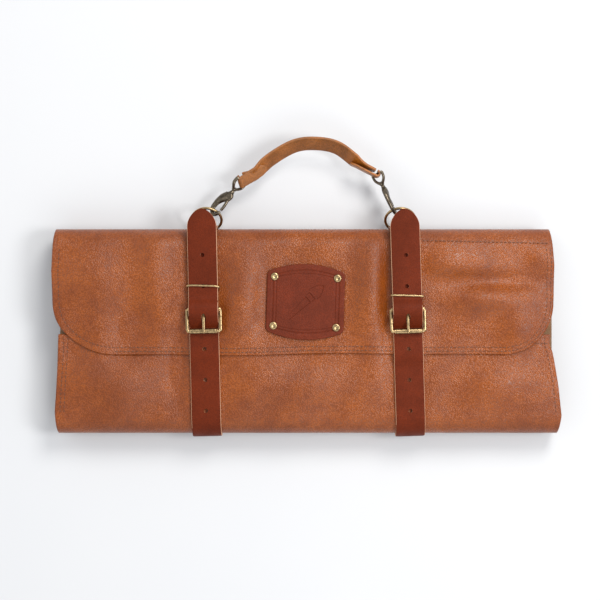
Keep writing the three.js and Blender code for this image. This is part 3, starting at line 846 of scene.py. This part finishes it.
class ROLL_OT_badge(bpy.types.Operator):
    """Arched patch with a debossed frame and a plain brush motif, and its four rivets"""

    bl_idname = "roll.badge"
    bl_label = "Badge"
    bl_options = {"REGISTER", "UNDO"}

    turn = math.radians(-1.8)
    centre = (-0.5 * MM, -15.2 * MM)

    def place(self, x, y, z):
        """Turns points of the badge's own plane about its centre and lays them on the flap."""
        c, s = math.cos(self.turn), math.sin(self.turn)
        return np.stack([self.centre[0] + x * c - y * s, self.centre[1] + x * s + y * c, z], -1)

    def groove(self, x, y):
        """Depth of the pressed lines: an inset frame, and a brush of handle, ferrule and pointed head."""
        arch = 30 + 8 * (1 - (x / 39) ** 2)
        frame_line = np.maximum(np.abs(x) / 33, np.abs(y) / (arch - 6.5))
        depth = np.exp(-((frame_line - 1) / 0.022) ** 2)
        depth = np.maximum(depth, 0.8 * np.exp(-((frame_line - 0.9) / 0.014) ** 2))
        along, across = (x + y) / math.sqrt(2) / 1.1, (x - y) / math.sqrt(2) / 1.3
        to_tip = np.clip((along - 9) / 13, 0, 1)
        head = 4.6 * np.sqrt(1 - to_tip) * (1 + 0.25 * np.sin(to_tip * math.pi))
        half = np.where(along < 4, 1.4 + 0.06 * (along + 20), np.where(along < 9, 3.4, head))
        inside = (np.abs(along) < 22) & (np.abs(across) < half)
        lines = np.minimum(np.abs(along - 4), np.abs(along - 9)) < 0.5
        return np.maximum(depth, np.where(inside & ~lines, 1.0, 0.0))

    def execute(self, context):
        u, v = np.meshgrid(np.linspace(1, -1, 230), np.linspace(-1, 1, 210))
        x = 39 * u * (1 - 0.025 * np.clip((np.abs(v) - 0.9) / 0.1, 0, 1) ** 2)
        y = v * (30 + 8 * (1 - u ** 2) - 1.2 * np.clip((np.abs(u) - 0.93) / 0.07, 0, 1) ** 2)
        edge = np.clip((1 - np.maximum(np.abs(u), np.abs(v))) / 0.03, 0, 1)
        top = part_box("badge")[1].z / MM - 0.5 * (1 - np.sqrt(1 - (1 - edge) ** 2)) - 0.75 * self.groove(x, y)
        patch = leather_sheet("badge_patch", self.place(x * MM, y * MM, top * MM), 1.8 * MM, badge_leather())
        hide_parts("badge")
        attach(patch, "flap")
        for name in [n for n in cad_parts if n.startswith("badge_rivet")]:
            low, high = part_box(name)
            radius = np.array([0.05, 0.9, 1.3, 1.9, 2.6, 3.2, 3.7, 3.9, 3.9])
            height = np.array([0.75, 0.75, 1.1, 1.25, 1.3, 1.15, 0.8, 0.4, -0.2])
            rings, sides = len(radius), 36
            angle = np.linspace(0, 2 * math.pi, sides, endpoint=False)
            ring = np.stack([radius[:, None] * np.cos(angle), radius[:, None] * np.sin(angle),
                             np.repeat(height[:, None], sides, 1)], 2) * MM
            centre = np.array([(low.x + high.x) / 2, (low.y + high.y) / 2, low.z])
            faces = grid_faces(rings, sides, wrap_columns=True).tolist()
            faces += [tuple(range(sides)), tuple(range((rings - 1) * sides, rings * sides))]
            rivet = make_mesh(f"cap_{name}", ring + centre, faces, brass())
            face_outwards(rivet)
            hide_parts(name)
            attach(rivet, "flap")
        return {"FINISHED"}


class ROLL_OT_buckles(bpy.types.Operator):
    """Roller buckles, their prongs and the wire keepers"""

    bl_idname = "roll.buckles"
    bl_label = "Buckles"
    bl_options = {"REGISTER", "UNDO"}

    def keep(self, piece, node, body):
        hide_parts(node)
        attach(piece, body)

    def execute(self, context):
        bar_y, bar_z, roller_y = -22.2 * MM, 49 * MM, -44.2 * MM
        for side in SIDES:
            corner = np.linspace(0, math.pi / 2, 7)[:-1]
            loop = []
            for k, (cx, cy) in enumerate(((14.4, -24.5), (-14.4, -24.5), (-14.4, -42.0), (14.4, -42.0))):
                turn = corner + k * math.pi / 2
                loop.append(np.stack([cx + 2.3 * np.cos(turn), cy + 2.3 * np.sin(turn)], 1))
            loop = np.concatenate(loop) * MM
            path = resample(belt_place(side, loop[:, 0], loop[:, 1], bar_z), 120, closed=True)
            rail = np.abs((path - belt_place(side, 0, -33 * MM, bar_z)) @ np.array(belt_across(side)))
            wide = np.where(rail > 14.6 * MM, 1.62 * MM, 1.35 * MM)
            wide = np.convolve(np.concatenate([wide[-3:], wide, wide[:3]]), np.ones(7) / 7, "valid")
            ring = sweep(f"{side}_buckle_ring", path, wide, wide * 1.02, brass(), (0, 0, 1), 16, 2.6,
                         closed=True)
            self.keep(ring, f"{side}_buckle_frame", f"{side}_buckle")
            x = np.linspace(-13.4, 13.4, 60)
            groove = 0.3 * np.exp(-((np.abs(x) - 12.3) / 0.35) ** 2)
            bead = (2.75 - groove - 0.5 * np.clip(np.abs(x) - 13, 0, 1)) * MM
            tube = sweep(f"{side}_roller", belt_place(side, x * MM, roller_y, bar_z), bead, bead, brass(),
                         (0, 0, 1), 28)
            self.keep(tube, f"{side}_buckle_roller", f"{side}_roller")
            points = [(-20.6, 47.4), (-19.9, 49.2), (-21.2, 51.2), (-23.6, 50.9), (-28, 51.0), (-34, 52.0),
                      (-40, 53.0), (-44.2, 53.4), (-46.6, 53.2)]
            points = np.array(points) * MM
            path = resample(belt_place(side, 0, points[:, 0], points[:, 1]), 70)
            t = np.linspace(0, 1, 70)
            wide = (1.75 - 0.45 * t) * np.sqrt(np.clip((1 - t) / 0.04, 0.05, 1))
            prong = sweep(f"{side}_prong_pin", path, wide * MM, wide * 0.72 * MM, brass(),
                          belt_across(side), 16, 2.4)
            self.keep(prong, f"{side}_buckle_prong", f"{side}_prong")
            low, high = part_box(f"{side}_keeper")
            y = (low.y + high.y) / 2
            y_belt = PIVOT_Y + (y - PIVOT_Y) / math.cos(BELTS[side][1])
            centre_z, half_z = (low.z + high.z) / 2, (high.z - low.z) / 2 - 0.9 * MM
            t = np.linspace(0, 2 * math.pi, 90, endpoint=False)
            x = 16.1 * MM * np.sign(np.cos(t)) * np.abs(np.cos(t)) ** 0.28
            z = centre_z + half_z * np.sign(np.sin(t)) * np.abs(np.sin(t)) ** 0.28
            lean, slope = (1.3, -0.05) if side == "left" else (0.52, -0.06)
            skew = lean * MM * np.sin(t) + x * slope
            path = resample(belt_place(side, x, y_belt + skew, z), 130, closed=True)
            wire = sweep(f"{side}_wire_keeper", path, 1.0 * MM, 1.0 * MM, brass(), (0, 1, 0), 12, closed=True)
            self.keep(wire, f"{side}_keeper", f"{side}_keeper")
        return {"FINISHED"}


HOOKS = {"left": (-101.0, 52, 49, -35), "right": (96.0, 118, 115, 78)}
RING = np.array([0, 68.4, 14.6])
RING_RADIUS = 15.1
RING_TILT = math.radians(42)


def hook_frame(side):
    """Where the hook takes hold of the ring, the shank's direction and the hook's own side direction."""
    x, at, aim, turn = HOOKS[side]
    at, aim, turn = math.radians(at), math.radians(aim), math.radians(turn)
    reach = RING_RADIUS * math.sin(at)
    origin = np.array([x + RING_RADIUS * math.cos(at), RING[1] + reach * math.cos(RING_TILT),
                       RING[2] + reach * math.sin(RING_TILT)])
    shank = np.array([math.cos(aim), math.sin(aim), 0])
    flat = np.array([math.sin(aim), -math.cos(aim), 0])
    side_way = flat * math.cos(turn) + np.array([0, 0, -1]) * math.sin(turn)
    return origin, shank, side_way, flat


class ROLL_OT_carrier(bpy.types.Operator):
    """Rings, snap hooks, swivel eyes and the handle strap"""

    bl_idname = "roll.carrier"
    bl_label = "Handle and hooks"
    bl_options = {"REGISTER", "UNDO"}

    def keep(self, piece, node, slot, body):
        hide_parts(node)
        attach(piece, body)

    def execute(self, context):
        for side in SIDES:
            self.ring(side)
            self.hook(side)
            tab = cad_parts[f"{side}_ring_tab"]
            tab.data.materials.clear()
            tab.data.materials.append(belt_leather())
        self.handle()
        return {"FINISHED"}

    def ring(self, side):
        angle = np.linspace(0, 2 * math.pi, 90, endpoint=False)
        path = np.stack([HOOKS[side][0] + RING_RADIUS * np.cos(angle),
                         RING[1] + RING_RADIUS * np.sin(angle) * math.cos(RING_TILT),
                         RING[2] + RING_RADIUS * np.sin(angle) * math.sin(RING_TILT)], 1) * MM
        ring = sweep(f"{side}_wire_ring", path, 1.4 * MM, 1.4 * MM, brass(), (0, -math.sin(RING_TILT),
                     math.cos(RING_TILT)), 14, closed=True)
        self.keep(ring, f"{side}_ring", "brass", f"{side}_ring")

    def hook(self, side):
        origin, shank, across, flat = hook_frame(side)
        depth = np.cross(across, shank)

        def spot(points, sideways=across):
            points = np.asarray(points, float)
            return (origin + points[:, :1] * sideways + points[:, 1:2] * shank) * MM

        claw = resample(spot([(0.6, 27), (0.6, 24.5), (0.3, 20), (-3.6, 15), (-5.8, 7.5), (-4.9, 0), (0, -4),
                              (4.2, -1.2), (5, 2.6)]), 110)
        t = np.linspace(0, 1, 110)
        stops = [0, 0.05, 0.1, 0.17, 0.3, 0.5, 0.75, 0.95, 1]
        wide = np.interp(t, stops, [1.9, 2.6, 4.6, 6.0, 5.0, 3.3, 2.1, 1.8, 0.9])
        deep = np.interp(t, stops, [1.8, 2.2, 2.9, 3.1, 2.6, 2.1, 1.7, 1.5, 0.9])
        body = sweep(f"{side}_snap_hook", claw, wide * MM, deep * MM, hook_metal(), across, 20)
        self.keep(body, f"{side}_hook_claw", "gunmetal", f"{side}_hook")
        gate = resample(spot([(4.9, 3.6), (4.9, 8), (4.2, 12), (3, 16)]), 30)
        wide = np.interp(np.linspace(0, 1, 30), [0, 0.1, 1], [0.8, 1.3, 1.6])
        lever = sweep(f"{side}_gate_lever", gate, wide * MM, 1.35 * MM, hook_metal(), across, 14, 2.8)
        self.keep(lever, f"{side}_hook_gate", "gunmetal", f"{side}_gate")

        lean = math.radians(33)
        outwards = flat if side == "right" else -flat
        upright = outwards * math.sin(lean) + np.array([0, 0, 1]) * math.cos(lean)
        eye = [(-8.6, 40), (-8.0, 34.5), (-4, 30.6), (0, 29.4), (4, 30.6), (8.0, 34.5), (8.6, 40)]
        loop = resample(spot(eye, upright), 70)
        bow = sweep("bow", loop, 1.4 * MM, 1.9 * MM, hook_metal(), depth, 12)
        bar = spot([(-8.6, 40), (0, 40), (8.6, 40)], upright)
        post = sweep("post", bar, 1.1 * MM, 1.1 * MM, hook_metal(), shank, 12)
        middle = spot([(0, s) for s in np.linspace(26.8, 30.6, 14)])
        ball = 2.7 * MM * np.sqrt(np.sin(np.linspace(0.12, math.pi - 0.12, 14)))
        knob = sweep("knob", middle, ball, ball, hook_metal(), across, 18)
        self.keep(joined(f"{side}_eye", [bow, post, knob]), f"{side}_swivel_eye", "gunmetal", "handle")

    def handle(self):
        ends = []
        for side in SIDES:
            origin, shank, _, _ = hook_frame(side)
            ends.append((origin + 40 * shank, shank))
        first, last = ends[0][0], ends[1][0]
        route = np.array([first + (2.6, 3, 0), (-52, 114, 24), (-36, 128.8, 24), (-12, 142.6, 24),
                          (10, 145.3, 24), (32, 140.8, 24), (54, 124.8, 24), last + (-1.6, 3.4, 0)])
        path = resample(route * MM, 150)
        tangent = np.gradient(path, axis=0)
        tangent /= np.linalg.norm(tangent, axis=1, keepdims=True)
        outward = np.stack([-tangent[:, 1], tangent[:, 0], np.zeros(150)], 1)
        t = np.linspace(0, 1, 150)
        lean = math.radians(33) + np.radians(np.interp(t, [0, 0.1, 0.85, 1], [22, 0, 0, -28]))[:, None]
        upright = outward * np.sin(lean) + np.array([0, 0, 1]) * np.cos(lean)
        wide = np.interp(t, [0, 0.06, 0.16, 0.84, 0.93, 1], [6.4, 7.6, 10, 10, 7.4, 6.2]) * MM
        strap = sweep("strap", path, wide, 1.3 * MM, handle_leather(), upright, 28, 8.0)
        pieces = [strap]
        for k, (centre, shank) in enumerate(ends):
            sign = 1 if k == 0 else -1
            up = upright[0] if k == 0 else upright[-1]
            inward = path[26] - path[0] if k == 0 else path[-27] - path[-1]
            inward = inward / np.linalg.norm(inward)
            wall = np.cross(up, inward)
            curl = [centre + inward * 2.6 * math.cos(a) + wall * 2.6 * math.sin(a)
                    for a in np.linspace(-0.6 * math.pi, 0.6 * math.pi, 12) + math.pi]
            tail = [centre + inward * s + wall * -2.7 * sign for s in (6, 16, 29)]
            folded = resample(np.array([*curl[::sign], *tail]) * MM, 60)
            taper = np.interp(np.linspace(0, 1, 60), [0, 0.3, 0.6, 0.8, 0.9, 0.97, 1],
                              [6.0, 6.3, 6.9, 6.6, 5.6, 3.4, 1.2]) * MM
            pieces.append(sweep("fold", folded, taper, 1.1 * MM, handle_leather(), up, 24, 6.0))
        handle = joined("carrying_handle", pieces)
        mark = handle.data.attributes.new("cut_edge", "FLOAT", "FACE")
        normals = np.zeros(len(handle.data.polygons) * 3)
        handle.data.polygons.foreach_get("normal", normals)
        mark.data.foreach_set("value", (normals.reshape(-1, 3)[:, 2] > 0.62).astype(np.float32) * 0.12)
        self.keep(handle, "handle_strap", "handle_leather", "handle")


class ROLL_OT_stage(bpy.types.Operator):
    """Pale floor, soft lights and the camera straight above the case"""

    bl_idname = "roll.stage"
    bl_label = "Stage"
    bl_options = {"REGISTER", "UNDO"}

    def light(self, name, place, size, power, colour=(1, 1, 1)):
        lamp = bpy.data.lights.new(name, "AREA")
        lamp.shape = "DISK"
        lamp.size = size
        lamp.energy = power
        lamp.color = colour
        thing = bpy.data.objects.new(name, lamp)
        bpy.context.scene.collection.objects.link(thing)
        thing.location = place
        thing.rotation_euler = (-Vector(place)).to_track_quat("-Z", "Y").to_euler()

    def execute(self, context):
        material, tree, shader = new_material("Pale floor")
        place = tree.nodes.new("ShaderNodeTexCoord").outputs["Object"]
        tone = mix_colour(tree, noise(tree, place, 3.0), (0.6, 0.61, 0.625, 1.0), (0.64, 0.64, 0.645, 1.0))
        tree.links.new(tone, shader.inputs["Base Color"])
        shader.inputs["Roughness"].default_value = 0.9
        shader.inputs["Specular IOR Level"].default_value = 0.1
        x, y = np.meshgrid(np.linspace(-4, 4, 9), np.linspace(-4, 4, 9))
        floor = make_mesh("floor", np.stack([x, y, np.full_like(x, -0.0004)], 2), grid_faces(9, 9), material)
        world = bpy.data.worlds.new("Studio")
        bpy.context.scene.world = world
        world.use_nodes = True
        world.node_tree.nodes["Background"].inputs["Color"].default_value = (0.95, 0.97, 1.0, 1.0)
        world.node_tree.nodes["Background"].inputs["Strength"].default_value = 0.72
        self.light("key", (0.55, 1.1, 1.45), 0.8, 21, (1.0, 0.98, 0.95))
        self.light("fill", (-1.5, 0.5, 1.1), 1.4, 5, (0.97, 0.98, 1.0))
        self.light("haze", (1.1, -0.05, 1.5), 0.6, 15)
        self.light("front", (0.2, -1.3, 1.2), 1.2, 6)
        camera = bpy.data.cameras.new("camera")
        camera.lens = 100
        camera.sensor_width = 36
        camera.clip_end = 20
        eye = bpy.data.objects.new("camera", camera)
        bpy.context.scene.collection.objects.link(eye)
        eye.location = (-6 * MM, -13.2 * MM, 0.045 + 0.6 * 100 / 36)
        bpy.context.scene.camera = eye
        bpy.context.scene.view_settings.view_transform = "Standard"
        return {"FINISHED"}


# ---------------------------------------------------------------- panel

BUILD_ORDER = (ROLL_OT_stage, ROLL_OT_shell, ROLL_OT_lining, ROLL_OT_stitching, ROLL_OT_belts, ROLL_OT_badge,
               ROLL_OT_buckles, ROLL_OT_carrier)


class ROLL_PT_panel(bpy.types.Panel):
    """Lists the settings and the pieces of the brush roll case"""

    bl_idname = "ROLL_PT_panel"
    bl_label = "Brush Roll Case"
    bl_space_type = "VIEW_3D"
    bl_region_type = "UI"
    bl_category = "Roll Case"

    def draw(self, context):
        for group in (context.scene.roll_leather, context.scene.roll_hardware):
            for name in group.bl_rna.properties.keys():
                if name not in {"rna_type", "name"}:
                    self.layout.prop(group, name)
        for operator in BUILD_ORDER:
            self.layout.operator(operator.bl_idname)


CLASSES = (LeatherSettings, HardwareSettings, *BUILD_ORDER, ROLL_PT_panel)


def register():
    for one in CLASSES:
        bpy.utils.register_class(one)
    bpy.types.Scene.roll_leather = bpy.props.PointerProperty(type=LeatherSettings)
    bpy.types.Scene.roll_hardware = bpy.props.PointerProperty(type=HardwareSettings)


def unregister():
    del bpy.types.Scene.roll_leather
    del bpy.types.Scene.roll_hardware
    for one in reversed(CLASSES):
        bpy.utils.unregister_class(one)


def main():
    """Builds every piece in order."""
    register()
    for operator in BUILD_ORDER:
        group, name = operator.bl_idname.split(".")
        getattr(getattr(bpy.ops, group), name)()
    bpy.context.view_layer.update()


if __name__ == "__main__":
    main()
